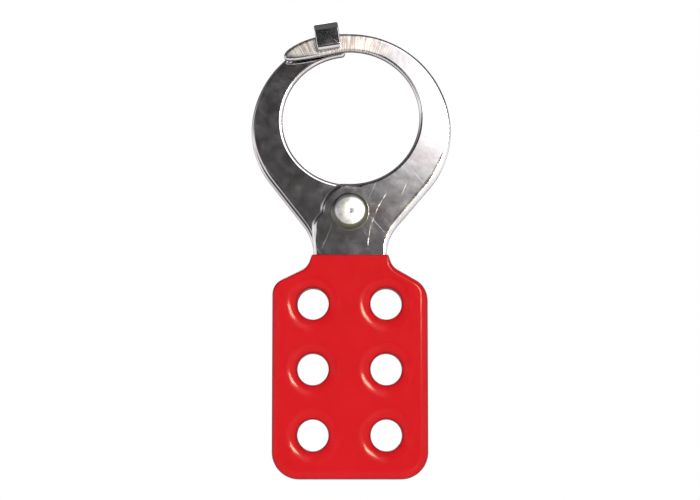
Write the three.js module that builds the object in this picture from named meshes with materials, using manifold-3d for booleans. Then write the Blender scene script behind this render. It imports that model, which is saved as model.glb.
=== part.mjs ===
// A scissor lockout hasp: two steel legs that cross at one rivet. Above the rivet their jaws close into a
// ring, and below it their handles lie one behind the other, each dipped in vinyl and pierced by six holes
// for padlock shackles. A hook bent from the rear leg's jaw closes over the front leg's finger.
//
// Millimetres. +X right, +Z up, and the front of the hasp faces -Y. The origin is the centre of the jaw
// opening, midway between the legs. Outlines are drawn in the XZ plane and given their thickness along Y.
import * as THREE from "three";
import { mergeVertices } from "three/addons/utils/BufferGeometryUtils.js";
import Module from "manifold-3d";

const wasm = await Module();
wasm.setup();

// ---- Driving dimensions ----
const PLATE = 2.0; // thickness of each steel leg
const SKIN = 0.8; // thickness of the vinyl on every face of a handle
const FIT = 0.05; // clearance between neighbouring pieces that touch
const HANDLE_GAP = 0.3; // gap between the two vinyl handles
const COVER = SKIN + FIT; // how far the vinyl stands off the steel's own faces and edges

// The edge of each jaw round the opening is half an oval: its centre's height, half width and half height.
const FRONT_JAW = { z: -0.3, halfWidth: 18.8, halfHeight: 18.1 };
const REAR_JAW = { z: -0.4, halfWidth: 18.5, halfHeight: 17.7 };
// The outer edge of each jaw: an arc centred at height z, a tighter one down the side, a straight stretch that
// starts where the edge faces the angle straightAt, and a fillet into the neck.
const FRONT_RIM = { z: -4.65, radius: 27.3, sideRadius: 24, straightAt: -40.5, neckRadius: 12.5 };
const REAR_RIM = { z: -3.95, radius: 26.9, sideRadius: 23.3, straightAt: -38, neckRadius: 13.8 };
const SIDE_FROM = 10; // the angle where the tighter side arc starts, in degrees
const FINGER = { shoulderX: -16.4, shoulderZ: 18.7, undersideZ: 15.35, leavesJawAtX: -3.5 };
const REAR_JAW_END = { x: -1.3, cornerRadius: 1.2 };

const PIVOT_Z = -26; // the rivet's axis
const PIVOT_LOBE = 8.1; // the legs' round end beside the rivet
const NECK = { halfWidth: 9.8, flareX: 10.3, flareZ: -30 };

const HANDLE = { halfWidth: 20.85, bottomZ: -97.6, topZ: -37.5, cornerRadius: 7.3 };
const LIP_TAPER = 0.4; // how much the vinyl thins at the sides of the neck
const SHOULDER_Z = -38; // where the neck starts to widen into the handle
const SHOULDERS = {
  left: { slope: 26, neckRadius: 4, sideRadius: 4.5 },
  right: { slope: 30, neckRadius: 4, sideRadius: 6.5 },
};
const HOLES = { diameter: 8.4, columns: [-9.95, 9.7], rows: [-50.8, -68.35, -85.95] };

const HOOK = { x: -6.4, lean: 9, width: 6.5, thickness: 2, inside: 28.3, lipEnd: 22.6, bend: 0.6, lipGap: 0.3 };

const RIVET = { shank: 6.3, headWidth: 10.2, headFace: 6.4, headHeight: 2.7, tailWidth: 9.4, tailHeight: 1.5 };
const RIVET_HOLE = 6.6;
const SPACER_WIDTH = 14;
const BACKING = { width: 12, thickness: 0.8 };

const STEEL_EDGE = 0.5; // chamfer round the legs' edges
const VINYL_EDGE = 0.9; // chamfer round the vinyl's edges
const ARC_STEP = { wide: 7.5, tight: 12 }; // degrees between the points of a round stretch

// ---- Places along Y, for a leg's inner face, outer face and vinyl ----
const LEG_INNER = HANDLE_GAP / 2 + COVER;
const LEG_OUTER = LEG_INNER + PLATE;
const VINYL_OUTER = LEG_OUTER + COVER;

const rad = THREE.MathUtils.degToRad;
const point = (x, z) => new THREE.Vector2(x, z);

// ---- Outlines: lists of points in the XZ plane, anticlockwise as seen from the front ----

// Points on an ellipse (a circle if b is left out) from one angle to another, in degrees.
function arc(cx, cz, a, from, to, b = a) {
  const step = a > 12 ? ARC_STEP.wide : ARC_STEP.tight;
  const steps = Math.max(2, Math.ceil(Math.abs(to - from) / step));
  return Array.from({ length: steps + 1 }, (_, i) => {
    const angle = rad(from + ((to - from) * i) / steps);
    return point(cx + a * Math.cos(angle), cz + b * Math.sin(angle));
  });
}

function bezier(start, startPull, endPull, end, steps = 8) {
  return new THREE.CubicBezierCurve(start, startPull, endPull, end).getPoints(steps);
}

const mirrored = (points) => points.map((p) => point(-p.x, p.y)).reverse();

function withoutRepeats(points) {
  return points.filter((p, i) => p.distanceTo(points[(i + 1) % points.length]) > 0.02);
}

// The neck widening into the handle on the right side, from the handle up. grow is how far the outline lies
// outside the vinyl's own, so it is negative for the steel within.
function shoulder({ slope, neckRadius, sideRadius }, grow) {
  const turn = 90 - slope;
  const neckX = NECK.halfWidth + COVER;
  const reach = Math.tan(rad(turn / 2));
  const slopeTop = point(neckX, SHOULDER_Z - neckRadius * reach);
  const slopeBottomZ = slopeTop.y - (HANDLE.halfWidth - neckX) * Math.tan(rad(slope));
  const sideZ = slopeBottomZ - sideRadius * reach;
  return [
    ...arc(HANDLE.halfWidth - sideRadius, sideZ, sideRadius + grow, 0, turn),
    ...arc(neckX + neckRadius, SHOULDER_Z, neckRadius - grow, 180 + turn, 180),
  ];
}

// From the left shoulder's foot round the bottom to the neck on the right.
function handleBottom(grow) {
  const x = HANDLE.halfWidth - HANDLE.cornerRadius;
  const z = HANDLE.bottomZ + HANDLE.cornerRadius;
  const radius = HANDLE.cornerRadius + grow;
  return [
    ...mirrored(shoulder(SHOULDERS.left, grow)),
    ...arc(-x, z, radius, 180, 270),
    ...arc(x, z, radius, 270, 360),
    ...shoulder(SHOULDERS.right, grow),
  ];
}

// The neck's right edge and the ring's outer edge, up to the given angle on the ring.
function outerEdge(rim, toAngle) {
  const inset = rim.radius - rim.sideRadius;
  const side = point(inset * Math.cos(rad(SIDE_FROM)), rim.z + inset * Math.sin(rad(SIDE_FROM)));
  const facing = point(Math.cos(rad(rim.straightAt)), Math.sin(rad(rim.straightAt)));
  const reach = side.dot(facing) + rim.sideRadius;
  const filletX = NECK.halfWidth + rim.neckRadius;
  const filletZ = (reach + rim.neckRadius - filletX * facing.x) / facing.y;
  return [
    ...arc(filletX, filletZ, rim.neckRadius, 180, 180 + rim.straightAt),
    ...arc(side.x, side.y, rim.sideRadius, rim.straightAt, SIDE_FROM),
    ...arc(0, rim.z, rim.radius, SIDE_FROM, toAngle),
  ];
}

// The height of a jaw's oval edge at x, above its centre.
const ovalTop = (jaw, x) => jaw.z + jaw.halfHeight * Math.sqrt(1 - (x / jaw.halfWidth) ** 2);

// The jaw opening's edge from the given x at its top, clockwise to its foot, then the round lobe beside the
// rivet and the flare below it into the neck's left edge.
function innerEdge(jaw, fromX) {
  const start = THREE.MathUtils.radToDeg(Math.acos(fromX / jaw.halfWidth));
  const lobe = arc(0, PIVOT_Z, PIVOT_LOBE, 110, 175);
  const flare = point(-NECK.flareX, NECK.flareZ);
  const neck = point(-NECK.halfWidth, SHOULDER_Z);
  return [
    ...arc(0, jaw.z, jaw.halfWidth, start, -94, jaw.halfHeight),
    ...lobe,
    ...bezier(lobe.at(-1), point(-8.3, -26.7), point(-NECK.flareX, -27), flare, 6),
    ...bezier(flare, point(-NECK.flareX, -33), point(-NECK.halfWidth, -35.5), neck, 4),
  ];
}

// The front jaw narrows past its top into a slim finger with a round tip.
function fingerEdge() {
  const top = point(0, FRONT_RIM.z + FRONT_RIM.radius);
  const shoulderPoint = point(FINGER.shoulderX, FINGER.shoulderZ);
  const under = point(FINGER.shoulderX, FINGER.undersideZ);
  const root = point(FINGER.leavesJawAtX, ovalTop(FRONT_JAW, FINGER.leavesJawAtX));
  return [
    ...bezier(top, point(-6.5, top.y + 0.3), point(-12.2, FINGER.shoulderZ + 2.9), shoulderPoint),
    ...bezier(shoulderPoint, point(-18.1, FINGER.shoulderZ - 1.2), point(-18.9, FINGER.undersideZ), under, 7),
    ...bezier(under, point(-13, FINGER.undersideZ), point(root.x - 4, root.y - 0.8), root),
  ];
}

// The rear jaw, drawn on the right as the front one is, stops square just past its top.
function squareEnd() {
  const radius = REAR_JAW_END.cornerRadius;
  const endX = -REAR_JAW_END.x;
  const underZ = ovalTop(REAR_JAW, endX + radius);
  return [point(endX, underZ + 2.6), ...arc(endX + radius, underZ + radius, radius, 180, 262)];
}

const frontJaw = [...outerEdge(FRONT_RIM, 90), ...fingerEdge(), ...innerEdge(FRONT_JAW, FINGER.leavesJawAtX)];
const rearRimAngle = THREE.MathUtils.radToDeg(Math.acos(-REAR_JAW_END.x / REAR_RIM.radius));
const rearJaw = mirrored([
  ...outerEdge(REAR_RIM, rearRimAngle),
  ...squareEnd(),
  ...innerEdge(REAR_JAW, -REAR_JAW_END.x + REAR_JAW_END.cornerRadius),
]);

// ---- Solids ----

// A plate from an outline and round holes, [x, z, radius], with chamfered edges, from y = near to y = far.
function plate(outline, holes, near, far, edge) {
  const shape = new THREE.Shape(withoutRepeats(outline));
  shape.holes = holes.map(([x, z, r]) => new THREE.Path(withoutRepeats(arc(x, z, r, 360, 0))));
  const geometry = new THREE.ExtrudeGeometry(shape, {
    depth: far - near - 2 * edge,
    bevelEnabled: edge > 0,
    bevelThickness: edge,
    bevelSize: edge,
    bevelOffset: -edge,
    bevelSegments: 1,
    steps: 1,
  });
  return geometry.rotateX(Math.PI / 2).translate(0, far - edge, 0);
}

// A solid of revolution about the rivet's axis, from [radius, y] points that run from front to back.
function turned(profile, segments = 30) {
  const points = profile.map(([r, y]) => new THREE.Vector2(r, y));
  return new THREE.LatheGeometry(points, segments).translate(0, 0, PIVOT_Z);
}

function solid(geometry) {
  const bare = geometry.clone();
  bare.deleteAttribute("normal");
  bare.deleteAttribute("uv");
  const merged = mergeVertices(bare, 1e-4);
  const triVerts =
    merged.index.array instanceof Uint32Array ? merged.index.array : new Uint32Array(merged.index.array);
  return new wasm.Manifold(
    new wasm.Mesh({ numProp: 3, vertProperties: merged.attributes.position.array, triVerts }),
  );
}

function geometryOf(manifold) {
  const { vertProperties, triVerts } = manifold.getMesh();
  const geometry = new THREE.BufferGeometry();
  geometry.setAttribute("position", new THREE.BufferAttribute(vertProperties, 3));
  geometry.setIndex(new THREE.BufferAttribute(triVerts, 1));
  geometry.computeVertexNormals();
  return geometry;
}

const padlockHoles = (radius) => HOLES.columns.flatMap((x) => HOLES.rows.map((z) => [x, z, radius]));

function leg(jaw, near, far) {
  const steelHole = HOLES.diameter / 2 + COVER;
  const holes = [...padlockHoles(steelHole), [0, PIVOT_Z, RIVET_HOLE / 2]];
  return plate([...handleBottom(-COVER), ...jaw], holes, near, far, STEEL_EDGE);
}

// The vinyl on one handle: the handle's outline with a hollow that the steel fills, open at the neck.
function vinyl(near, far) {
  const outline = (bottom, topX, topZ) => [...bottom, point(topX, topZ), point(-topX, topZ)];
  const neck = NECK.halfWidth + COVER;
  const radius = HOLES.diameter / 2;
  const skin = outline(handleBottom(0).slice(1, -1), neck - LIP_TAPER, HANDLE.topZ);
  const core = outline(handleBottom(-SKIN), neck - SKIN, HANDLE.topZ + 1);
  const outside = solid(plate(skin, padlockHoles(radius), near, far, VINYL_EDGE));
  const hollow = solid(plate(core, padlockHoles(radius + SKIN), near + SKIN, far - SKIN, 0));
  return geometryOf(outside.subtract(hollow));
}

// The hook's section: up from the rear leg, over the front leg's finger and down in front of it.
function hook() {
  const { thickness, inside, lipEnd, bend, lipGap, width, lean } = HOOK;
  const top = inside + thickness;
  const round = bend + thickness;
  const lipInner = -LEG_OUTER - lipGap;
  const lipOuter = lipInner - thickness;
  const root = FRONT_RIM.radius - 2.4;
  const section = new THREE.Shape([
    point(LEG_OUTER, root),
    ...arc(LEG_OUTER - round, top - round, round, 0, 90),
    ...arc(lipOuter + round, top - round, round, 90, 180),
    point(lipOuter, lipEnd + 1.2),
    point(lipInner - thickness / 2, lipEnd),
    point(lipInner, lipEnd),
    ...arc(lipInner + bend, inside - bend, bend, 180, 90),
    ...arc(LEG_INNER - bend, inside - bend, bend, 90, 0),
    point(LEG_INNER, root),
  ]);
  const strip = new THREE.ExtrudeGeometry(section, { depth: width, bevelEnabled: false, steps: 1 });
  // The section's own x is the hasp's Y and its y is Z, so the strip's length turns to lie along X.
  const across = new THREE.Matrix4().makeBasis(
    new THREE.Vector3(0, 1, 0),
    new THREE.Vector3(0, 0, 1),
    new THREE.Vector3(1, 0, 0),
  );
  return strip
    .translate(0, 0, -width / 2)
    .applyMatrix4(across)
    .rotateY(-rad(lean))
    .translate(HOOK.x + inside * Math.sin(rad(lean)), 0, FRONT_RIM.z + inside * (1 - Math.cos(rad(lean))));
}

function washer(outerWidth, near, far) {
  return turned([
    [RIVET_HOLE / 2, near],
    [outerWidth / 2, near],
    [outerWidth / 2, far],
    [RIVET_HOLE / 2, far],
    [RIVET_HOLE / 2, near],
  ]);
}

function rivet() {
  const headY = -LEG_OUTER - FIT;
  const tailY = LEG_OUTER + FIT + BACKING.thickness + FIT;
  const { shank, headWidth, headFace, headHeight, tailWidth, tailHeight } = RIVET;
  return turned([
    [0, headY - headHeight],
    [headFace / 2, headY - headHeight],
    [headWidth / 2 - 0.5, headY - headHeight * 0.55],
    [headWidth / 2, headY - headHeight * 0.25],
    [headWidth / 2, headY],
    [shank / 2, headY],
    [shank / 2, tailY],
    [tailWidth / 2, tailY],
    [tailWidth / 2, tailY + tailHeight * 0.4],
    [tailWidth / 2 - 1.5, tailY + tailHeight],
    [0, tailY + tailHeight],
  ]);
}

// ---- Materials ----
const steel = new THREE.MeshStandardMaterial({ color: 0x8d8a8c, metalness: 1, roughness: 0.18 });
const rivetSteel = new THREE.MeshStandardMaterial({ color: 0xd9dcd6, metalness: 1, roughness: 0.3 });
const washerSteel = new THREE.MeshStandardMaterial({ color: 0xa9abad, metalness: 1, roughness: 0.35 });
const redVinyl = new THREE.MeshStandardMaterial({ color: 0xda2027, metalness: 0, roughness: 0.25 });

// ---- The assembly ----
const hasp = new THREE.Group();

function add(name, geometry, material) {
  const mesh = new THREE.Mesh(geometry, material);
  mesh.name = name;
  hasp.add(mesh);
}

const rearPlate = solid(leg(rearJaw, LEG_INNER, LEG_OUTER));
add("front_leg", leg(frontJaw, -LEG_OUTER, -LEG_INNER), steel);
add("rear_leg", geometryOf(rearPlate.add(solid(hook()))), steel);
add("front_handle_vinyl", vinyl(-VINYL_OUTER, -HANDLE_GAP / 2), redVinyl);
add("rear_handle_vinyl", vinyl(HANDLE_GAP / 2, VINYL_OUTER), redVinyl);
add("pivot_rivet", rivet(), rivetSteel);
add("spacer_washer", washer(SPACER_WIDTH, -LEG_INNER + FIT, LEG_INNER - FIT), washerSteel);
add("backing_washer", washer(BACKING.width, LEG_OUTER + FIT, LEG_OUTER + FIT + BACKING.thickness), washerSteel);

export default hasp;
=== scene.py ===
# Lockout hasp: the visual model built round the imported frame.
import math

import bmesh
import bpy
from mathutils import Matrix, Vector
from mathutils.geometry import delaunay_2d_cdt


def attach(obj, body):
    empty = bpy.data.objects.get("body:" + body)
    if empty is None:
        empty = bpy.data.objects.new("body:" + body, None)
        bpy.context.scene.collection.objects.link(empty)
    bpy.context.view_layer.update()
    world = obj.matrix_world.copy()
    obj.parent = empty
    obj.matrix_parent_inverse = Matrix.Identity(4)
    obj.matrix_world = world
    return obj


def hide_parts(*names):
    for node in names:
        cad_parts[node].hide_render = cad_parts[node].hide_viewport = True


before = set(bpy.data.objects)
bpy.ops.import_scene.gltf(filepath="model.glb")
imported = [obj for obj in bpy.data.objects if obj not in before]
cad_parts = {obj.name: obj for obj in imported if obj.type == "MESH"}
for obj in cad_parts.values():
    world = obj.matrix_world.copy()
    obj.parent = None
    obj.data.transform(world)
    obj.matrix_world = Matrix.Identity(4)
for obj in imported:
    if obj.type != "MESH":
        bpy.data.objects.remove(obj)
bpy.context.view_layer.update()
MM = 0.001


# ---------------------------------------------------------------- dimensions, in millimetres
PLATE = 2.0
SKIN = 0.8
FIT = 0.05
HANDLE_GAP = 0.3
COVER = SKIN + FIT
LEG_INNER = HANDLE_GAP / 2 + COVER
LEG_OUTER = LEG_INNER + PLATE
VINYL_OUTER = LEG_OUTER + COVER

FRONT_JAW = {"z": -0.3, "a": 18.8, "b": 18.1}
REAR_JAW = {"z": -0.4, "a": 18.5, "b": 17.7}
# Outer edge: the ring's centre height and radius, its side radius, the angle in degrees where it starts to
# run straight, and the fillet into the neck.
FRONT_RIM = {"z": -4.65, "r": 27.3, "side": 24.0, "straight": -40.5, "fillet": 12.5}
REAR_RIM = {"z": -3.95, "r": 26.9, "side": 23.3, "straight": -38.0, "fillet": 13.8}
SIDE_FROM = 10.0
FINGER_SHOULDER = (-16.4, 18.7)
FINGER_UNDERSIDE_Z = 15.35
FINGER_LEAVES_X = -3.5
REAR_END_X = -1.3
REAR_END_CORNER = 1.2

PIVOT_Z = -26.0
PIVOT_LOBE = 8.1
NECK_HALF = 9.8
FLARE = (10.3, -30.0)

HANDLE_HALF = 20.85
HANDLE_BOTTOM = -97.6
HANDLE_TOP = -37.5
HANDLE_CORNER = 7.3
LIP_TAPER = 0.4
SHOULDER_Z = -38.0
SHOULDERS = {"left": (26.0, 4.0, 4.5), "right": (30.0, 4.0, 6.5)}  # slope, neck radius, side radius
HOLE_RADIUS = 4.2
HOLE_COLUMNS = (-9.95, 9.7)
HOLE_ROWS = (-50.8, -68.35, -85.95)

HOOK_X = -6.4
HOOK_LEAN = 9.0
HOOK_WIDTH = 6.5
HOOK_THICK = 2.0
HOOK_INSIDE = 28.3
HOOK_LIP_END = 22.6
HOOK_BEND = 0.6
HOOK_LIP_GAP = 0.3
HOOK_FLARE = 0.32
HOOK_TUCK = 0.02  # how far the strip lies inside the plate's faces, so that no two faces coincide

RIVET_HOLE = 3.3
RIVET_SHANK = 3.15
SPACER_RADIUS = 7.0
BACKING_RADIUS = 6.0
BACKING_THICK = 0.8
WASHER_EDGE = 0.2

# How far a piece's edge is rounded in from its outline and down from its face.
LEG_FRONT_ROLL = (0.85, 0.5)
LEG_BACK_ROLL = (0.35, 0.3)
VINYL_FRONT_ROLL = (3.6, 1.75)
VINYL_BACK_ROLL = (1.0, 0.9)
HOOK_ROLL = 0.22
SUPPORT = 0.06  # a row of points this far into each flat face keeps it flat in smooth shading
FRONT_JAW_WIDEN = 1.4  # how much wider the rounding is along the straight stretch of each jaw's outer edge
REAR_JAW_WIDEN = 0.6
SHARP_ANGLE = 42  # degrees


# ---------------------------------------------------------------- outlines (x, z), anticlockwise
def arc(cx, cz, a, start, end, b=None, step=2.0):
    b = a if b is None else b
    n = max(2, math.ceil(abs(end - start) / step))
    out = []
    for i in range(n + 1):
        t = math.radians(start + (end - start) * i / n)
        out.append((cx + a * math.cos(t), cz + b * math.sin(t)))
    return out


def bezier(p0, p1, p2, p3, n=24):
    out = []
    for i in range(n + 1):
        t = i / n
        s = 1 - t
        w = (s ** 3, 3 * s * s * t, 3 * s * t * t, t ** 3)
        out.append(tuple(sum(k * p[c] for k, p in zip(w, (p0, p1, p2, p3))) for c in (0, 1)))
    return out


def mirrored(points):
    return [(-x, z) for x, z in reversed(points)]


def resample(points, spacing):
    """The closed outline with its points evenly spaced."""
    pts = [Vector(p) for p in points]
    keep = [p for i, p in enumerate(pts) if (p - pts[i - 1]).length > 1e-4]
    lengths = [0.0]
    for i, p in enumerate(keep):
        lengths.append(lengths[-1] + (keep[(i + 1) % len(keep)] - p).length)
    total = lengths[-1]
    count = max(12, round(total / spacing))
    out = []
    k = 0
    for i in range(count):
        s = total * i / count
        while lengths[k + 1] < s:
            k += 1
        span = lengths[k + 1] - lengths[k]
        t = (s - lengths[k]) / span
        a, b = keep[k], keep[(k + 1) % len(keep)]
        out.append(a.lerp(b, t))
    return out


def shoulder(side, grow):
    slope, neck_r, side_r = SHOULDERS[side]
    turn = 90 - slope
    neck_x = NECK_HALF + COVER
    reach = math.tan(math.radians(turn / 2))
    top = (neck_x, SHOULDER_Z - neck_r * reach)
    bottom_z = top[1] - (HANDLE_HALF - neck_x) * math.tan(math.radians(slope))
    side_z = bottom_z - side_r * reach
    return (arc(HANDLE_HALF - side_r, side_z, side_r + grow, 0, turn)
            + arc(neck_x + neck_r, SHOULDER_Z, neck_r - grow, 180 + turn, 180))


def handle_bottom(grow):
    x = HANDLE_HALF - HANDLE_CORNER
    z = HANDLE_BOTTOM + HANDLE_CORNER
    r = HANDLE_CORNER + grow
    return (mirrored(shoulder("left", grow)) + arc(-x, z, r, 180, 270) + arc(x, z, r, 270, 360)
            + shoulder("right", grow))


def outer_edge(rim, to_angle):
    inset = rim["r"] - rim["side"]
    turn = math.radians(SIDE_FROM)
    sx, sz = inset * math.cos(turn), rim["z"] + inset * math.sin(turn)
    nx, nz = math.cos(math.radians(rim["straight"])), math.sin(math.radians(rim["straight"]))
    reach = sx * nx + sz * nz + rim["side"]
    fx = NECK_HALF + rim["fillet"]
    fz = (reach + rim["fillet"] - fx * nx) / nz
    return (arc(fx, fz, rim["fillet"], 180, 180 + rim["straight"])
            + arc(sx, sz, rim["side"], rim["straight"], SIDE_FROM)
            + arc(0, rim["z"], rim["r"], SIDE_FROM, to_angle))


def oval_top(jaw, x):
    return jaw["z"] + jaw["b"] * math.sqrt(1 - (x / jaw["a"]) ** 2)


def inner_edge(jaw, from_x):
    start = math.degrees(math.acos(from_x / jaw["a"]))
    lobe = arc(0, PIVOT_Z, PIVOT_LOBE, 110, 175)
    flare = (-FLARE[0], FLARE[1])
    return (arc(0, jaw["z"], jaw["a"], start, -94, jaw["b"]) + lobe
            + bezier(lobe[-1], (-8.3, -26.7), (-FLARE[0], -27), flare, 12)
            + bezier(flare, (-FLARE[0], -33), (-NECK_HALF, -35.5), (-NECK_HALF, SHOULDER_Z), 12))


def finger_edge():
    top = (0, FRONT_RIM["z"] + FRONT_RIM["r"])
    x, z = FINGER_SHOULDER
    under = (x, FINGER_UNDERSIDE_Z)
    root = (FINGER_LEAVES_X, oval_top(FRONT_JAW, FINGER_LEAVES_X))
    return (bezier(top, (-6.5, top[1] + 0.3), (-12.2, z + 2.9), (x, z))
            + bezier((x, z), (-18.1, z - 1.2), (-18.9, FINGER_UNDERSIDE_Z), under)
            + bezier(under, (-13, FINGER_UNDERSIDE_Z), (root[0] - 4, root[1] - 0.8), root))


rear_corner_x = -REAR_END_X + REAR_END_CORNER
rear_angle = math.degrees(math.acos(rear_corner_x / (REAR_RIM["r"] - REAR_END_CORNER)))


def rounded_end():
    """The end of the rear jaw, before it is mirrored: down from the ring's outer edge to its inner one."""
    r = REAR_END_CORNER
    top_z = REAR_RIM["z"] + (REAR_RIM["r"] - r) * math.sin(math.radians(rear_angle))
    under_z = oval_top(REAR_JAW, rear_corner_x)
    return (arc(rear_corner_x, top_z, r, rear_angle, 180, step=8)
            + arc(rear_corner_x, under_z + r, r, 180, 262, step=8))


front_jaw = outer_edge(FRONT_RIM, 90) + finger_edge() + inner_edge(FRONT_JAW, FINGER_LEAVES_X)
rear_jaw = mirrored(outer_edge(REAR_RIM, rear_angle) + rounded_end() + inner_edge(REAR_JAW, rear_corner_x))


# ---------------------------------------------------------------- mesh helpers
def finish_mesh(name, bm, smooth=True):
    bmesh.ops.recalc_face_normals(bm, faces=bm.faces)
    mesh = bpy.data.meshes.new(name)
    bm.to_mesh(mesh)
    bm.free()
    for p in mesh.polygons:
        p.use_smooth = smooth
    obj = bpy.data.objects.new(name, mesh)
    bpy.context.scene.collection.objects.link(obj)
    return obj


def inward_normals(points):
    """At each point of a closed outline, the unit vector into the material, which is on its left."""
    out = []
    n = len(points)
    for i, p in enumerate(points):
        t = (points[(i + 1) % n] - points[i - 1]).normalized()
        out.append(Vector((-t.y, t.x)))
    return out


def roll_profile(width, depth, steps):
    """(inset, depth below the face) pairs from the flat face to the wall, a quarter of an ellipse."""
    out = []
    for j in range(steps + 1):
        t = math.pi / 2 * j / steps
        out.append((width * (1 - math.sin(t)), depth * (1 - math.cos(t))))
    return out


def rolled_plate(name, outlines, near, far, front, back, widths=None, steps=6):
    """A plate between y = near (its front face) and y = far. front and back are the (width, depth) of the
    rounding of its edges, and widths scales the width by place. The outlines are dense closed loops with
    the material on the left, the first round the outside."""
    bm = bmesh.new()
    front_steps = roll_profile(front[0], front[1], steps)
    back_steps = roll_profile(back[0], back[1], steps)
    rows = [(front[0] + SUPPORT, near, True)] + [(s, near + d, True) for s, d in front_steps]
    rows += [(s, far - d, False) for s, d in reversed(back_steps)] + [(back[0] + SUPPORT, far, False)]
    faces_front, faces_back = [], []
    for k, outline in enumerate(outlines):
        normals = inward_normals(outline)
        rings = []
        for inset, y, is_front in rows:
            ring = []
            for p, n in zip(outline, normals):
                w = widths(k, p, is_front) if widths else 1.0
                q = p + n * inset * w
                ring.append(bm.verts.new((q.x * MM, y * MM, q.y * MM)))
            rings.append(ring)
        for a, b in zip(rings, rings[1:]):
            for i in range(len(a)):
                j = (i + 1) % len(a)
                bm.faces.new((a[i], a[j], b[j], b[i]))
        faces_front.append(rings[0])
        faces_back.append(rings[-1])
    fill_face(bm, faces_front)
    fill_face(bm, faces_back)
    return finish_mesh(name, bm)


def fill_face(bm, rings):
    """Cover the flat face bounded by the rings, the first round the outside and the others round the holes.
    Every point of every ring becomes a corner, so the face meets the walls edge for edge."""
    corners, ring_of, edges = [], [], []
    for k, ring in enumerate(rings):
        start = len(corners)
        edges += [(start + i, start + (i + 1) % len(ring)) for i in range(len(ring))]
        corners += ring
        ring_of += [k] * len(ring)
    flat = [Vector((v.co.x, v.co.z)) / MM for v in corners]
    inside_constraints = 1
    _, _, triangles, sources, _, _ = delaunay_2d_cdt(flat, edges, [], inside_constraints, 1e-6)
    for triangle in triangles:
        picked = [sources[i][0] for i in triangle]
        touched = {ring_of[i] for i in picked}
        if len(touched) > 1 or 0 in touched:  # the rest lie in a hole
            bm.faces.new([corners[i] for i in picked])


def flat_prism(name, outlines, near, far):
    bm = bmesh.new()
    rings = []
    for outline in outlines:
        a = [bm.verts.new((p.x * MM, near * MM, p.y * MM)) for p in outline]
        b = [bm.verts.new((p.x * MM, far * MM, p.y * MM)) for p in outline]
        for i in range(len(a)):
            j = (i + 1) % len(a)
            bm.faces.new((a[i], a[j], b[j], b[i]))
        rings.append((a, b))
    fill_face(bm, [near_ring for near_ring, _ in rings])
    fill_face(bm, [far_ring for _, far_ring in rings])
    return finish_mesh(name, bm, smooth=False)


def boolean(obj, other, operation):
    mod = obj.modifiers.new("bool", "BOOLEAN")
    mod.object = other
    mod.operation = operation
    mod.solver = "EXACT"
    depsgraph = bpy.context.evaluated_depsgraph_get()
    mesh = bpy.data.meshes.new_from_object(obj.evaluated_get(depsgraph))
    obj.modifiers.clear()
    old = obj.data
    obj.data = mesh
    bpy.data.meshes.remove(old)
    bpy.data.objects.remove(other)
    obj.data.name = obj.name


def lathe(name, profile, segments=96):
    """A solid of revolution about the rivet's axis, from (radius, y) points that start and end on the axis
    or close on themselves."""
    bm = bmesh.new()
    rings = []
    for r, y in profile:
        if r < 1e-6:
            rings.append([bm.verts.new((0, y * MM, PIVOT_Z * MM))])
        else:
            ring = []
            for i in range(segments):
                t = 2 * math.pi * i / segments
                ring.append(bm.verts.new((r * math.cos(t) * MM, y * MM, (PIVOT_Z + r * math.sin(t)) * MM)))
            rings.append(ring)
    closed = profile[0][0] > 1e-6
    pairs = list(zip(rings, rings[1:])) + ([(rings[-1], rings[0])] if closed else [])
    for a, b in pairs:
        for i in range(segments):
            j = (i + 1) % segments
            if len(a) == 1:
                bm.faces.new((a[0], b[j], b[i]))
            elif len(b) == 1:
                bm.faces.new((a[i], a[j], b[0]))
            else:
                bm.faces.new((a[i], a[j], b[j], b[i]))
    return finish_mesh(name, bm)


# ---------------------------------------------------------------- pieces
def circle(x, z, r, spacing):
    n = max(24, round(2 * math.pi * r / spacing))
    turns = [-2 * math.pi * i / n for i in range(n)]
    return [Vector((x + r * math.cos(t), z + r * math.sin(t))) for t in turns]


def padlock_holes(radius, spacing=0.5):
    return [circle(x, z, radius, spacing) for x in HOLE_COLUMNS for z in HOLE_ROWS]


def bump(value, centre, half, soft):
    """1 within half of centre, easing to 0 over soft."""
    d = abs(value - centre) - half
    t = min(1, max(0, 1 - d / soft))
    return t * t * (3 - 2 * t)


def leg_widths(sign, widen):
    """The front rounding is wider along the jaw's straight outer edge and round the lobe by the rivet. sign
    is -1 for the rear leg, whose outline is mirrored."""
    def width(k, p, is_front):
        if k > 0 or not is_front:
            return 1.0
        x, z = p.x * sign, p.y
        angle = math.degrees(math.atan2(z + 4, x))
        if math.hypot(x, z) > 20.5 and x > 0 and z > -36:
            return 1.0 + widen * bump(angle, -42, 18, 22)
        if x < 3 and z > SHOULDER_Z + 0.5 and math.hypot(x, z) > 17.5:
            return 1.0 + 0.6 * bump(z, -25, 6, 3)
        return 1.0
    return width


def leg(name, jaw, near, far, sign, widen):
    holes = padlock_holes(HOLE_RADIUS + COVER) + [circle(0, PIVOT_Z, RIVET_HOLE, 0.4)]
    outline = resample(handle_bottom(-COVER) + jaw, 0.4)
    widths = leg_widths(sign, widen)
    return rolled_plate(name, [outline] + holes, near, far, LEG_FRONT_ROLL, LEG_BACK_ROLL, widths)


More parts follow.
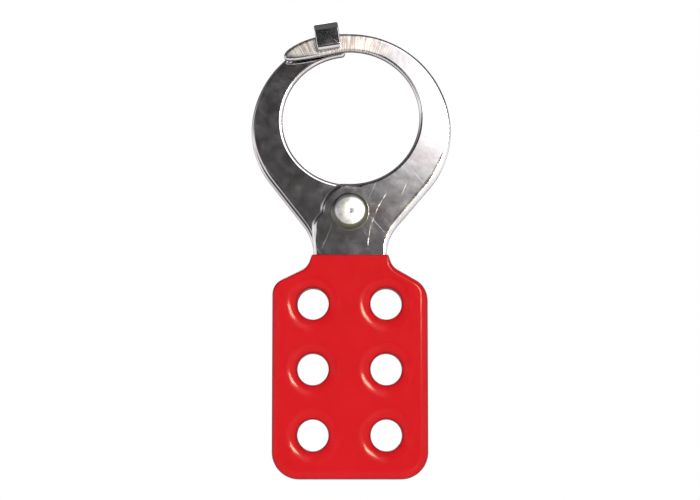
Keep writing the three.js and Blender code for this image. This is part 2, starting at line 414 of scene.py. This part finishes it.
def hook_path():
    """(y, z) points up from inside the rear jaw, over the finger and down in front of it, then the lip's
    rounded end as pairs of a point and the strip's scale there. The lip flares forward a little."""
    half_t = HOOK_THICK / 2
    mid_front = -LEG_OUTER - HOOK_LIP_GAP - half_t
    mid_back = (LEG_INNER + LEG_OUTER) / 2
    bend = HOOK_BEND + half_t
    bend_z = HOOK_INSIDE + half_t - bend
    quarter = [math.radians(90 * i / 12) for i in range(13)]

    def lip_y(z):
        return mid_front - HOOK_FLARE * (bend_z - z) / (bend_z - HOOK_LIP_END)

    path = [(mid_back, FRONT_RIM["r"] - 3.2), (mid_back, bend_z - 0.1)]
    path += [(mid_back - bend + bend * math.cos(t), bend_z + bend * math.sin(t)) for t in quarter]
    path += [(mid_front + bend - bend * math.sin(t), bend_z + bend * math.cos(t)) for t in quarter]
    tip = 1.4
    path += [(lip_y(z), z) for z in (bend_z - 0.1, HOOK_LIP_END + tip + 0.1, HOOK_LIP_END + tip)]
    ends = []
    for i in range(1, 9):
        t = math.radians(90 * i / 8)
        z = HOOK_LIP_END + tip - tip * math.sin(t)
        ends.append(((lip_y(z), z), math.cos(t)))
    return path, ends


def hook_section(bm, centre, direction, shrink=1.0):
    """One ring of points round the strip, square to its path, with rounded corners."""
    across = Vector((direction[1], -direction[0]))
    w = HOOK_WIDTH / 2 - (1 - shrink) * 0.6
    h = (HOOK_THICK / 2 - HOOK_TUCK) * max(shrink, 0.12)
    c = min(HOOK_ROLL, h * 0.8)
    ring = []
    for sx, sh, start in ((1, 1, 0), (-1, 1, 90), (-1, -1, 180), (1, -1, 270)):
        for turn, past in ((0, -SUPPORT), (0, 0), (30, 0), (60, 0), (90, 0), (90, SUPPORT)):
            a = math.radians(start + turn)
            u = sx * (w - c) + c * math.cos(a) - past * math.sin(a)
            v = sh * (h - c) + c * math.sin(a) + past * math.cos(a)
            y = centre[0] + across.x * v
            z = centre[1] + across.y * v
            ring.append(bm.verts.new((u * MM, y * MM, z * MM)))
    return ring


def hook():
    """The strip that rises from the rear jaw, turns over the finger and hangs in front of it."""
    path, ends = hook_path()
    bm = bmesh.new()
    rings = []
    for i, p in enumerate(path):
        before = Vector(path[max(0, i - 1)])
        after = Vector(path[min(len(path) - 1, i + 1)])
        rings.append(hook_section(bm, p, (after - before).normalized()))
    rings += [hook_section(bm, p, Vector((0, -1)), shrink) for p, shrink in ends]
    for a, b in zip(rings, rings[1:]):
        for i in range(len(a)):
            j = (i + 1) % len(a)
            bm.faces.new((a[i], a[j], b[j], b[i]))
    bm.faces.new(rings[0])
    bm.faces.new(rings[-1])
    obj = finish_mesh("hook_strip", bm)
    lean = math.radians(HOOK_LEAN)
    x = HOOK_X + HOOK_INSIDE * math.sin(lean)
    z = FRONT_RIM["z"] + HOOK_INSIDE * (1 - math.cos(lean))
    obj.data.transform(Matrix.Translation(Vector((x, 0, z)) * MM) @ Matrix.Rotation(-lean, 4, "Y"))
    return obj


def vinyl(name, near, far, front, back):
    """The vinyl on one handle: a rolled skin, hollow where the steel goes and open at the neck."""
    top_x = NECK_HALF + COVER
    below = [p for p in handle_bottom(0) if p[1] < SHOULDER_Z - 1.0]
    lip = top_x - LIP_TAPER
    outside = resample(below + [(lip, HANDLE_TOP), (-lip, HANDLE_TOP)], 0.5)
    outlines = [outside] + padlock_holes(HOLE_RADIUS)
    body = rolled_plate(name, outlines, near, far, front, back, vinyl_widths, steps=10)
    mouth_x, mouth_z = top_x - SKIN, HANDLE_TOP + 1
    inside = resample(handle_bottom(-SKIN) + [(mouth_x, mouth_z), (-mouth_x, mouth_z)], 0.6)
    hollow = flat_prism("hollow", [inside] + padlock_holes(HOLE_RADIUS + SKIN), near + SKIN, far - SKIN)
    boolean(body, hollow, "DIFFERENCE")
    return body


def vinyl_widths(k, p, is_front):
    """Full rounding at the holes, narrower round the outside, and least at the lip and the shoulders."""
    if k > 0:
        return 1.0
    return 0.6 - 0.45 * bump(p.y, HANDLE_TOP, 0.8, 3.5) - 0.2 * bump(p.y, -44, 2.5, 2.5)


def rivet_profile():
    """The domed head with its centre mark, the bevel and skirt round it, the shank and the formed tail."""
    head = -LEG_OUTER - FIT
    tail = LEG_OUTER + FIT + BACKING_THICK + FIT
    dome = [(0, 2.5), (0.3, 2.52), (0.5, 2.62), (0.8, 2.7), (1.6, 2.68), (2.6, 2.6), (3.5, 2.44),
            (4.1, 2.26)]
    skirt = [(4.25, 2.16), (4.9, 1.25), (5.05, 0.9), (5.1, 0.3), (5.0, 0.06), (4.9, 0), (RIVET_SHANK, 0)]
    formed = [(RIVET_SHANK, 0), (4.4, 0), (4.65, 0.1), (4.7, 0.35), (4.5, 0.75), (3.9, 1.15), (2.9, 1.4),
              (1.6, 1.48), (0, 1.5)]
    return [(r, head - y) for r, y in dome + skirt] + [(r, tail + y) for r, y in formed]


def washer_profile(outer, near, far):
    edge = WASHER_EDGE
    corner = edge * 0.3
    return [(RIVET_HOLE, near), (outer - edge, near), (outer - corner, near + corner), (outer, near + edge),
            (outer, far - edge), (outer - corner, far - corner), (outer - edge, far), (RIVET_HOLE, far)]


front_leg = leg("front_leg_steel", front_jaw, -LEG_OUTER, -LEG_INNER, 1, FRONT_JAW_WIDEN)
rear_leg = leg("rear_leg_steel", rear_jaw, LEG_INNER, LEG_OUTER, -1, REAR_JAW_WIDEN)
boolean(rear_leg, hook(), "UNION")
gap = HANDLE_GAP / 2
front_vinyl = vinyl("front_handle_vinyl_dip", -VINYL_OUTER, -gap, VINYL_FRONT_ROLL, VINYL_BACK_ROLL)
rear_vinyl = vinyl("rear_handle_vinyl_dip", gap, VINYL_OUTER, VINYL_BACK_ROLL, VINYL_FRONT_ROLL)
rivet = lathe("rivet", rivet_profile())
spacer = lathe("spacer", washer_profile(SPACER_RADIUS, -LEG_INNER + FIT, LEG_INNER - FIT))
backing_near = LEG_OUTER + FIT
backing = lathe("rivet_washer", washer_profile(BACKING_RADIUS, backing_near, backing_near + BACKING_THICK))
for piece in (rivet, spacer, backing, front_leg, rear_leg, front_vinyl, rear_vinyl):
    piece.data.set_sharp_from_angle(angle=math.radians(SHARP_ANGLE))


# ---------------------------------------------------------------- materials
class Graph:
    """Short calls for building a node tree."""

    def __init__(self, tree):
        self.tree = tree

    def add(self, kind, **settings):
        node = self.tree.nodes.new(kind)
        for key, value in settings.items():
            setattr(node, key, value)
        return node

    def link(self, out, socket):
        self.tree.links.new(out, socket)

    def put(self, socket, value):
        if isinstance(value, bpy.types.NodeSocket):
            self.link(value, socket)
        else:
            socket.default_value = value

    def math(self, operation, a, b=0.0):
        node = self.add("ShaderNodeMath", operation=operation)
        self.put(node.inputs[0], a)
        self.put(node.inputs[1], b)
        return node.outputs[0]

    def span(self, value, low, high, to_low, to_high, kind="LINEAR"):
        node = self.add("ShaderNodeMapRange", interpolation_type=kind)
        self.link(value, node.inputs["Value"])
        for key, number in (("From Min", low), ("From Max", high), ("To Min", to_low), ("To Max", to_high)):
            node.inputs[key].default_value = number
        return node.outputs["Result"]

    def split(self, vector, axis):
        node = self.add("ShaderNodeSeparateXYZ")
        self.link(vector, node.inputs[0])
        return node.outputs[axis]

    def window(self, value, low, high, soft):
        """1 between low and high, easing to 0 across a border 2 x soft wide."""
        rise = self.span(value, low - soft, low + soft, 0, 1, "SMOOTHSTEP")
        fall = self.span(value, high - soft, high + soft, 1, 0, "SMOOTHSTEP")
        return self.math("MULTIPLY", rise, fall)


class Nodes(Graph):
    """A material on the Principled shader."""

    def __init__(self, name):
        self.material = bpy.data.materials.new(name)
        self.material.use_nodes = True
        super().__init__(self.material.node_tree)
        self.bsdf = self.tree.nodes["Principled BSDF"]
        self.position = self.add("ShaderNodeTexCoord").outputs["Object"]

    def facing_y(self):
        """1 where the surface faces straight forward or back, 0 on the walls."""
        normal = self.add("ShaderNodeTexCoord").outputs["Normal"]
        return self.math("ABSOLUTE", self.split(normal, "Y"))

    def mapping(self, scale=(1, 1, 1), rotation=(0, 0, 0), location=(0, 0, 0), kind="POINT"):
        node = self.add("ShaderNodeMapping", vector_type=kind)
        self.link(self.position, node.inputs["Vector"])
        node.inputs["Scale"].default_value = scale
        node.inputs["Rotation"].default_value = rotation
        node.inputs["Location"].default_value = location
        return node.outputs["Vector"]

    def noise(self, scale, detail=3.0, roughness=0.55, vector=None, distortion=0.0):
        node = self.add("ShaderNodeTexNoise")
        self.link(vector or self.position, node.inputs["Vector"])
        node.inputs["Scale"].default_value = scale
        node.inputs["Detail"].default_value = detail
        node.inputs["Roughness"].default_value = roughness
        node.inputs["Distortion"].default_value = distortion
        return node.outputs["Fac"]

    def ramp(self, value, stops):
        node = self.add("ShaderNodeValToRGB")
        self.link(value, node.inputs["Fac"])
        elements = node.color_ramp.elements
        while len(elements) < len(stops):
            elements.new(0.5)
        for element, (place, colour) in zip(elements, stops):
            element.position = place
            element.color = (*colour, 1)
        return node.outputs["Color"]

    def mix(self, factor, a, b):
        node = self.add("ShaderNodeMix", data_type="RGBA")
        self.put(node.inputs["Factor"], factor)
        self.put(node.inputs["A"], a if isinstance(a, bpy.types.NodeSocket) else (*a, 1))
        self.put(node.inputs["B"], (*b, 1))
        return node.outputs["Result"]

    def bump(self, height, distance, strength=1.0, normal=None):
        node = self.add("ShaderNodeBump")
        node.inputs["Strength"].default_value = strength
        node.inputs["Distance"].default_value = distance
        self.link(height, node.inputs["Height"])
        if normal:
            self.link(normal, node.inputs["Normal"])
        return node.outputs["Normal"]


def fine_scratches(m):
    """Thin straight scratches in two directions: a noise drawn out along one axis, cut near its peaks."""
    lines = []
    for angle, low in ((24, 0.79), (-41, 0.80)):
        vector = m.mapping((1 / 3200, 1 / 3200, 1 / 90), (0, math.radians(angle), 0), kind="TEXTURE")
        lines.append(m.span(m.noise(1.0, 0, 0.5, vector, 0.1), low, low + 0.05, 0, 1))
    return m.math("MAXIMUM", *lines)


def near_hook(m, x, y, z):
    """1 on the front leg's front face where it was worked beside the hook."""
    across = m.math("MULTIPLY", m.window(x, -0.019, 0.010, 0.005), m.window(z, 0.0165, 0.03, 0.001))
    return m.math("MULTIPLY", across, m.window(y, -0.0031, -0.0026, 0.00005))


def forming_marks(m, x, z):
    """Stripes fanned about the ring's centre."""
    fan = m.add("ShaderNodeCombineXYZ")
    turn = m.math("ARCTAN2", x, m.math("SUBTRACT", z, FRONT_RIM["z"] * MM))
    m.link(m.math("MULTIPLY", turn, 85), fan.inputs["X"])
    m.link(m.math("MULTIPLY", z, 120), fan.inputs["Z"])
    return m.span(m.noise(1.0, 2, 0.6, fan.outputs["Vector"]), 0.42, 0.62, 0, 1)


def long_scratch(m, x, y, z):
    """One long curved scratch beside the rivet, on the front only."""
    drop = m.math("ADD", z, 0.036)
    curve = m.math("ADD", m.math("MULTIPLY", m.math("MULTIPLY", drop, drop), 22.4), 0.0046)
    waver = m.math("MULTIPLY", m.noise(260), 0.0004)
    off = m.math("ABSOLUTE", m.math("SUBTRACT", m.math("SUBTRACT", x, curve), waver))
    line = m.math("MULTIPLY", m.span(off, 0.00008, 0.0002, 1, 0), m.span(m.noise(700), 0.4, 0.6, 0.05, 0.5))
    stretch = m.math("MULTIPLY", m.window(z, -0.0365, -0.0215, 0.001), m.window(y, -0.1, -0.0028, 0.0001))
    return m.math("MULTIPLY", line, stretch)


def steel_material():
    m = Nodes("polished_steel")
    b = m.bsdf
    b.inputs["Metallic"].default_value = 1.0
    x, y, z = (m.split(m.position, k) for k in "XYZ")
    stops = [(0.3, (0.66, 0.60, 0.60)), (0.55, (0.76, 0.745, 0.77)), (0.8, (0.77, 0.785, 0.75))]
    tint = m.ramp(m.noise(150, 4, 0.6), stops)
    worked = near_hook(m, x, y, z)
    stripes = m.math("MULTIPLY", forming_marks(m, x, z), worked)
    tint = m.mix(m.math("MULTIPLY", stripes, 0.75), tint, (0.20, 0.17, 0.20))
    # Painted shade: the walls and the outermost turned edges are darkened almost to black, standing in for
    # the shade and dark outlines where the steel is seen edge-on.
    tint = m.mix(m.span(m.facing_y(), 0.35, 0.8, 0.88, 0), tint, (0.07, 0.065, 0.07))
    lines = m.math("MAXIMUM", m.math("MULTIPLY", fine_scratches(m), 0.2), long_scratch(m, x, y, z))
    m.link(m.mix(lines, tint, (0.90, 0.88, 0.92)), b.inputs["Base Color"])
    rough = m.span(m.noise(300, 3, 0.6), 0.3, 0.75, 0.05, 0.12)
    rough = m.math("ADD", rough, m.math("MULTIPLY", worked, 0.17))
    m.link(m.math("ADD", rough, m.math("MULTIPLY", lines, 0.4)), b.inputs["Roughness"])
    waves = m.bump(m.noise(110, 3, 0.55), 0.000018)
    m.link(m.bump(lines, 0.000004, 0.6, waves), b.inputs["Normal"])
    return m.material


def vinyl_material():
    m = Nodes("red_vinyl")
    b = m.bsdf
    tone = m.noise(90, 3, 0.5)
    red = m.ramp(tone, [(0.3, (0.687, 0.010, 0.0140)), (0.7, (0.724, 0.012, 0.0170))])
    # Painted shade: the walls and the turned edges are darkened to a deep maroon, standing in for the shade
    # in the holes and the dark outline round the handle.
    wall = m.span(m.facing_y(), 0.2, 0.85, 0.92, 0)
    m.link(m.mix(wall, red, (0.10, 0.002, 0.006)), b.inputs["Base Color"])
    m.link(m.span(m.noise(700, 3, 0.6), 0.3, 0.7, 0.1, 0.18), b.inputs["Roughness"])
    b.inputs["IOR"].default_value = 1.5
    b.inputs["Specular IOR Level"].default_value = 0.11
    waves = m.bump(m.noise(110, 2, 0.5), 0.00005)
    grain = m.bump(m.noise(2600, 2, 0.5), 0.000006, 0.6, waves)
    m.link(grain, b.inputs["Normal"])
    return m.material


def turned_material(name, colour, low, high, rim=None):
    """Metal turned about the rivet's axis, its roughness between low and high. rim is a painted shade
    colour laid outside the head's raised face."""
    m = Nodes(name)
    b = m.bsdf
    b.inputs["Metallic"].default_value = 1.0
    centred = m.mapping((1, 1, 1), (0, 0, 0), (0, 0, -PIVOT_Z * MM))
    gap = m.add("ShaderNodeVectorMath", operation="LENGTH")
    flat = m.add("ShaderNodeVectorMath", operation="MULTIPLY")
    m.link(centred, flat.inputs[0])
    flat.inputs[1].default_value = (1, 0, 1)
    m.link(flat.outputs["Vector"], gap.inputs[0])
    radius = gap.outputs["Value"]
    combined = m.add("ShaderNodeCombineXYZ")
    m.link(m.math("MULTIPLY", radius, 1500.0), combined.inputs["X"])
    m.link(m.math("MULTIPLY", m.noise(60, 2), 1.5), combined.inputs["Y"])
    rings = m.noise(1.0, 3, 0.6, combined.outputs["Vector"])
    spots = m.noise(650, 3, 0.6)
    shade = tuple(c * 0.6 for c in colour)
    face = m.mix(m.span(spots, 0.38, 0.65, 0.0, 0.8), colour, shade)
    if rim:
        # Painted shade: a dark ring round the raised face, centred a little above the axis so it is widest
        # at the bottom, standing in for the shaded lower bevel and the shadow under the head.
        raised = m.mapping((1, 0, 1), (0, 0, 0), (0, 0, -(PIVOT_Z + 0.45) * MM))
        rim_shade_distance = m.add("ShaderNodeVectorMath", operation="LENGTH")
        m.link(raised, rim_shade_distance.inputs[0])
        face = m.mix(m.span(rim_shade_distance.outputs["Value"], 0.0039, 0.0042, 0, 1), face, rim)
    m.link(face, b.inputs["Base Color"])
    m.link(m.span(rings, 0.3, 0.7, low, high), b.inputs["Roughness"])
    m.link(m.bump(rings, 0.00003, 0.8), b.inputs["Normal"])
    return m.material


steel = steel_material()
red = vinyl_material()
# The last colour is the painted shade round the rivet head's face.
rivet_metal = turned_material("rivet_steel", (0.68, 0.71, 0.78), 0.24, 0.44, (0.14, 0.145, 0.11))
washer_metal = turned_material("washer_steel", (0.62, 0.63, 0.65), 0.28, 0.42)


def dress(obj, material, slot, body, *nodes):
    obj.data.materials.clear()
    obj.data.materials.append(material)
    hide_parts(*nodes)
    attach(obj, body)


dress(front_leg, steel, "polished_steel", "front_leg", "front_leg")
dress(rear_leg, steel, "polished_steel", "rear_leg", "rear_leg")
dress(front_vinyl, red, "red_vinyl", "front_leg", "front_handle_vinyl")
dress(rear_vinyl, red, "red_vinyl", "rear_leg", "rear_handle_vinyl")
dress(rivet, rivet_metal, "rivet_steel", "rear_leg", "pivot_rivet")
dress(spacer, washer_metal, "washer_steel", "rear_leg", "spacer_washer")
dress(backing, washer_metal, "washer_steel", "rear_leg", "backing_washer")


# ---------------------------------------------------------------- stage, lights, camera
FLOOR_RADIUS = 0.45
FLOOR_Z = -0.150


def floor():
    bm = bmesh.new()
    place = Matrix.Translation((0, 0, FLOOR_Z))
    bmesh.ops.create_circle(bm, cap_ends=True, segments=128, radius=FLOOR_RADIUS, matrix=place)
    obj = finish_mesh("floor", bm, smooth=False)
    m = Nodes("floor_paint")
    pale = m.ramp(m.noise(30, 2), [(0.3, (0.90, 0.90, 0.90)), (0.7, (0.93, 0.93, 0.93))])
    m.link(pale, m.bsdf.inputs["Base Color"])
    m.bsdf.inputs["Roughness"].default_value = 0.6
    obj.data.materials.append(m.material)


def area_light(name, place, aim, width, height, power, colour=(1, 1, 1)):
    light = bpy.data.lights.new(name, "AREA")
    light.shape = "RECTANGLE"
    light.size = width
    light.size_y = height
    light.energy = power
    light.color = colour
    obj = bpy.data.objects.new(name, light)
    obj.location = place
    obj.rotation_euler = (Vector(aim) - Vector(place)).to_track_quat("-Z", "Y").to_euler()
    bpy.context.scene.collection.objects.link(obj)
    return obj


floor()
target = Vector((0, 0, -0.0361))
window = area_light("window", (0.185, -0.51, 0.06), (0.0, 0, -0.06), 0.10, 0.15, 3.6, (1.0, 0.86, 0.62))
window.visible_diffuse = False
fill = area_light("fill", (0.0, -0.9, 0.25), (0.0, 0, -0.03), 0.9, 0.9, 2.8)
fill.visible_glossy = False
overhead = area_light("overhead", (0.0, 0.0, 1.2), (0.0, 0, 0.0), 1.2, 1.2, 10.0)
overhead.visible_glossy = False
area_light("back", (0.0, 0.6, 0.4), (0, 0, -0.03), 0.6, 0.4, 2.6)


# Soft panels by direction: from, to and border across, the same upwards, then strength.
FRONT_PANELS = (
    ((0.030, 0.80, 0.030), (0.150, 0.60, 0.030), 2.2),
    ((0.015, 0.15, 0.040), (0.100, 0.60, 0.060), 0.32),
    ((0.150, 0.75, 0.040), (-0.70, 0.03, 0.04), 1.0),
    ((-0.70, -0.110, 0.040), (0.02, 0.15, 0.03), 0.9),
)
BACK_PANELS = (
    ((-0.30, 0.010, 0.030), (-0.05, 0.30, 0.06), 0.9),
    ((0.010, 0.30, 0.030), (-0.20, 0.02, 0.05), 0.25),
)


def studio():
    """A pale tent all round, with a dim ceiling, and dim gaps in front and behind for the soft panels."""
    world = bpy.data.worlds.new("studio")
    bpy.context.scene.world = world
    world.use_nodes = True
    world.node_tree.nodes.clear()
    w = Graph(world.node_tree)
    split = w.add("ShaderNodeSeparateXYZ")
    w.link(w.add("ShaderNodeTexCoord").outputs["Generated"], split.inputs[0])
    x, y, z = (split.outputs[k] for k in "XYZ")
    tent = w.math("MULTIPLY", w.span(w.math("ABSOLUTE", y), 0.72, 0.92, 1.1, 0.075, "SMOOTHSTEP"),
                  w.span(z, 0.05, 0.45, 1.0, 0.12))
    total = tent
    for side, panels in ((-1, FRONT_PANELS), (1, BACK_PANELS)):
        near = w.span(y, side * 0.7, side * 0.9, 0, 1)
        for (x0, x1, x_soft), (z0, z1, z_soft), strength in panels:
            panel = w.math("MULTIPLY", w.window(x, x0, x1, x_soft), w.window(z, z0, z1, z_soft))
            panel = w.math("MULTIPLY", panel, near)
            total = w.math("ADD", total, w.math("MULTIPLY", panel, strength))
    lit = w.add("ShaderNodeBackground")
    lit.inputs["Color"].default_value = (1.0, 0.985, 0.99, 1)
    w.link(total, lit.inputs["Strength"])
    seen = w.add("ShaderNodeBackground")
    seen.inputs["Color"].default_value = (1, 1, 1, 1)
    mix = w.add("ShaderNodeMixShader")
    w.link(w.add("ShaderNodeLightPath").outputs["Is Camera Ray"], mix.inputs["Fac"])
    w.link(lit.outputs[0], mix.inputs[1])
    w.link(seen.outputs[0], mix.inputs[2])
    w.link(mix.outputs[0], w.add("ShaderNodeOutputWorld").inputs["Surface"])


studio()

scene = bpy.context.scene
scene.view_settings.view_transform = "Standard"
scene.view_settings.look = "None"

CAMERA_DISTANCE = 0.48
CAMERA_ELEVATION = math.radians(-5.5)
SENSOR_WIDTH = 36.0
VIEW_WIDTH = 0.18919  # how much of the object's plane the picture spans
camera = bpy.data.cameras.new("camera")
camera.sensor_width = SENSOR_WIDTH
camera.lens = SENSOR_WIDTH * CAMERA_DISTANCE / VIEW_WIDTH
camera.clip_start = 0.01
camera_object = bpy.data.objects.new("camera", camera)
away = Vector((0, -math.cos(CAMERA_ELEVATION), math.sin(CAMERA_ELEVATION)))
camera_object.location = target + away * CAMERA_DISTANCE
camera_object.rotation_euler = (-away).to_track_quat("-Z", "Y").to_euler()
scene.collection.objects.link(camera_object)
scene.camera = camera_object

bpy.context.view_layer.update()
